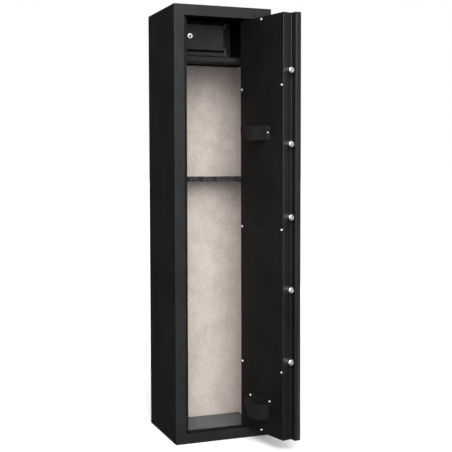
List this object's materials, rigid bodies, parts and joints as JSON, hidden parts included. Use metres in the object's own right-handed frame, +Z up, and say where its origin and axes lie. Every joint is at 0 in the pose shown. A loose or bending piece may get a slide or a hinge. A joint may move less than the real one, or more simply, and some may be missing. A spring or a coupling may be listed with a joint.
{
  "type": "gun safe",
  "caption": "Slim upright steel gun safe with a lined cabinet, barrel rack, inner lockbox, and a thick door with locking bolts, lever handle, key lock, strap and muzzle pocket.",
  "frame": {"origin": "centre of the cabinet's flat underside, where it stands on the floor", "axes": "+Z up along the height; +Y from the door side to the back of the cabinet; +X to the right, towards the hinge side"},
  "size_m": [0.3809, 0.5334, 1.48],
  "materials": {
    "cabinet_paint": "semi-gloss black powder coat, fine texture",
    "door_paint": "semi-gloss black powder coat, fine texture",
    "interior_paint": "satin black powder coat",
    "carpet": "short-pile taupe needle felt",
    "floor_carpet": "short-pile grey needle felt",
    "steel": "zinc-plated, satin",
    "nickel": "bright nickel plate",
    "brass": "machined",
    "black_nylon": "matte",
    "rack_foam": "dense black foam rubber",
    "handle_black": "satin black enamel",
    "webbing": "woven black webbing",
    "pocket_rubber": "moulded black rubber"
  },
  "bodies": {
    "cabinet": {"left_side": "cabinet_paint", "right_side": "cabinet_paint", "back_panel": "cabinet_paint", "top_panel": "cabinet_paint", "base_panel": "cabinet_paint", "left_stile": "cabinet_paint", "right_stile": "cabinet_paint", "top_rail": "cabinet_paint", "bottom_rail": "cabinet_paint", "keeper_return": "cabinet_paint", "keeper_flange": "cabinet_paint", "hinge_pins": "steel", "thrust_washer": "brass", "back_lining": "carpet", "left_lining": "carpet", "right_lining": "carpet", "floor_lining": "floor_carpet", "shelf": "interior_paint", "shelf_screws": "steel", "barrel_rack": "rack_foam", "rack_brackets": "interior_paint", "lockbox_shell": "interior_paint", "lockbox_front": "interior_paint", "lockbox_hinge_pins": "steel"},
    "door": {"door_outer_panel": "door_paint", "door_panel_ends": "door_paint", "door_free_wall": "door_paint", "door_hinge_wall": "door_paint", "door_inner_ends": "door_paint", "door_inner_cover": "door_paint", "cover_screws": "nickel", "hinge_blocks": "steel", "hinge_bushes": "brass", "bolt_bushes": "black_nylon", "carriage_pads": "black_nylon", "handle_bearing": "nickel", "key_escutcheon": "nickel", "lock_case": "steel", "strap_loop": "webbing", "strap_screws": "nickel", "muzzle_pocket": "pocket_rubber", "pocket_screws": "nickel"},
    "bolt_work": {"locking_bolt_1": "nickel", "locking_bolt_2": "nickel", "locking_bolt_3": "nickel", "locking_bolt_4": "nickel", "locking_bolt_5": "nickel", "bolt_bar": "steel", "bolt_bar_arm": "steel", "bolt_nuts": "steel"},
    "handle": {"handle_lever": "handle_black", "handle_spindle": "steel", "handle_crank": "steel"},
    "key_plug": {"lock_plug": "nickel", "key": "nickel"},
    "deadbolt": {"lock_deadbolt": "brass"},
    "lockbox_door": {"lockbox_door_leaf": "interior_paint", "lockbox_lock_body": "nickel"},
    "lockbox_cylinder": {"lockbox_plug": "nickel", "lockbox_cam": "steel"}
  },
  "joints": [
    {"name": "door_hinge", "type": "hinge", "parent": "cabinet", "child": "door", "pos_m": [0.114, -0.135, 0.739], "axis": [0, 0, 1], "range_deg": [-102.5, 10]},
    {"name": "handle_turn", "type": "hinge", "parent": "door", "child": "handle", "pos_m": [0.16328, -0.28796, 0.85], "axis": [-0.9763, -0.2164, 0], "range_deg": [0, 60]},
    {"name": "bolt_throw", "type": "slide", "parent": "door", "child": "bolt_work", "axis": [-0.2164, 0.9763, 0], "range_m": [0, 0.018]},
    {"name": "key_turn", "type": "hinge", "parent": "door", "child": "key_plug", "pos_m": [0.15721, -0.26062, 0.93], "axis": [-0.9763, -0.2164, 0], "range_deg": [0, 90]},
    {"name": "deadbolt_throw", "type": "slide", "parent": "door", "child": "deadbolt", "axis": [0, 0, -1], "range_m": [0, 0.012]},
    {"name": "lockbox_door_hinge", "type": "hinge", "parent": "cabinet", "child": "lockbox_door", "pos_m": [0.036, -0.07, 1.38], "axis": [0, 0, 1], "range_deg": [0, 95]},
    {"name": "lockbox_cam_turn", "type": "hinge", "parent": "lockbox_door", "child": "lockbox_cylinder", "pos_m": [-0.0945, -0.07, 1.3855], "axis": [0, 1, 0], "range_deg": [0, 90]}
  ],
  "couplings": [
    {"joint": "bolt_throw", "follows": "handle_turn", "m_per_rad": 0.017189},
    {"joint": "deadbolt_throw", "follows": "key_turn", "m_per_rad": 0.0076394}
  ]
}
